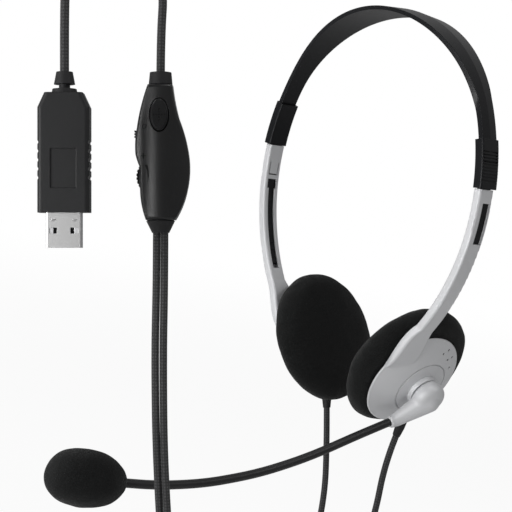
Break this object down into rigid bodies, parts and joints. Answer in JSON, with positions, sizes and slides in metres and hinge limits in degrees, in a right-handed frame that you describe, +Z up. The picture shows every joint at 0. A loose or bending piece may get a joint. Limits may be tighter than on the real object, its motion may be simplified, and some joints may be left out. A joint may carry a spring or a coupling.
{
  "type": "office headset",
  "caption": "Lightweight on-ear headset with a black headband, sliding silver arms, foam ear pads, a swivelling microphone boom, an in-line volume control and a USB plug.",
  "frame": {"origin": "midway between the two ear pads, where the wearer's head is held", "axes": "+X to the wearer's left, -Y the way the wearer faces, +Z up to the crown of the headband"},
  "size_m": [0.1278, 0.224, 0.3206],
  "materials": {
    "black_band": "satin black plastic",
    "silver_plastic": "satin silver paint on plastic",
    "black_plastic": "matte black plastic",
    "clear_film": "thin film",
    "steel": "plain steel",
    "foam": "open-cell black foam",
    "soft_rubber": "soft black rubber",
    "boom_black": "satin black sleeve",
    "control_black": "satin black plastic",
    "button_black": "satin black plastic",
    "board_green": "solder resist",
    "plug_grey": "matte dark grey plastic",
    "nickel": "bright nickel plate",
    "white_plastic": "white insulator",
    "gold": "gold plate",
    "braided_cord": "braided black jacket",
    "tie_black": "soft black tie"
  },
  "bodies": {
    "headband": {"headband_strip": "black_band", "left_slider": "black_band", "right_slider": "black_band", "control_front_shell": "control_black", "control_back_shell": "control_black", "control_screws": "steel", "control_board": "board_green", "button_switch": "black_plastic", "slide_switch_base": "black_plastic", "volume_pot": "black_plastic", "control_collar_top": "soft_rubber", "control_collar_bottom": "soft_rubber", "usb_housing": "plug_grey", "usb_shell": "nickel", "usb_tongue": "white_plastic", "usb_contacts": "gold", "usb_strain_relief": "soft_rubber", "cord_control_lead": "braided_cord", "cord_plug_lead": "braided_cord", "cord_coil": "braided_cord", "cord_tie": "tie_black", "cord_left": "braided_cord", "cord_right": "braided_cord"},
    "left_arm": {"left_arm_cover": "silver_plastic", "left_speaker_baffle": "black_plastic", "left_speaker_frame": "black_plastic", "left_speaker_diaphragm": "clear_film", "left_speaker_magnet": "steel", "left_ear_pad": "foam", "left_cord_gland": "soft_rubber", "pivot_boss": "silver_plastic", "pivot_axle": "steel"},
    "right_arm": {"right_arm_cover": "silver_plastic", "right_speaker_baffle": "black_plastic", "right_speaker_frame": "black_plastic", "right_speaker_diaphragm": "clear_film", "right_speaker_magnet": "steel", "right_ear_pad": "foam", "right_cord_gland": "soft_rubber"},
    "boom": {"pivot_washer": "steel", "pivot_housing_inner": "silver_plastic", "pivot_housing_outer": "silver_plastic", "boom_tube": "boom_black", "mic_holder": "black_plastic", "mic_capsule": "steel", "mic_foam": "foam"},
    "talk_button": {"talk_button": "button_black"},
    "mute_slider": {"mute_slider": "button_black"},
    "volume_wheel": {"volume_wheel": "button_black"}
  },
  "joints": [
    {"name": "left_arm_slide", "type": "hinge", "parent": "headband", "child": "left_arm", "pos_m": [-0.03155, -0.016, 0.076], "axis": [0, 1, 0], "range_deg": [0, 4], "deforming": ["cord_left"]},
    {"name": "right_arm_slide", "type": "hinge", "parent": "headband", "child": "right_arm", "pos_m": [0.03155, -0.016, 0.076], "axis": [0, -1, 0], "range_deg": [0, 4], "deforming": ["cord_right"]},
    {"name": "boom_pivot", "type": "hinge", "parent": "left_arm", "child": "boom", "pos_m": [0.03775, 0.00257, -0.00773], "axis": [0.9011, -0.052, -0.4305], "range_deg": [-90, 20]},
    {"name": "volume_turn", "type": "hinge", "parent": "headband", "child": "volume_wheel", "pos_m": [0.01353, -0.14166, 0.06922], "axis": [0.7254, -0.6791, 0.1122], "range_deg": [-130, 130]},
    {"name": "talk_press", "type": "slide", "parent": "headband", "child": "talk_button", "axis": [-0.7254, 0.6791, -0.1122], "range_m": [0, 0.0006], "stiffness_N_per_m": 600, "springref_m": -0.001},
    {"name": "mute_slide", "type": "slide", "parent": "headband", "child": "mute_slider", "axis": [0.1993, 0.0513, -0.9786], "range_m": [0, 0.0012]}
  ]
}
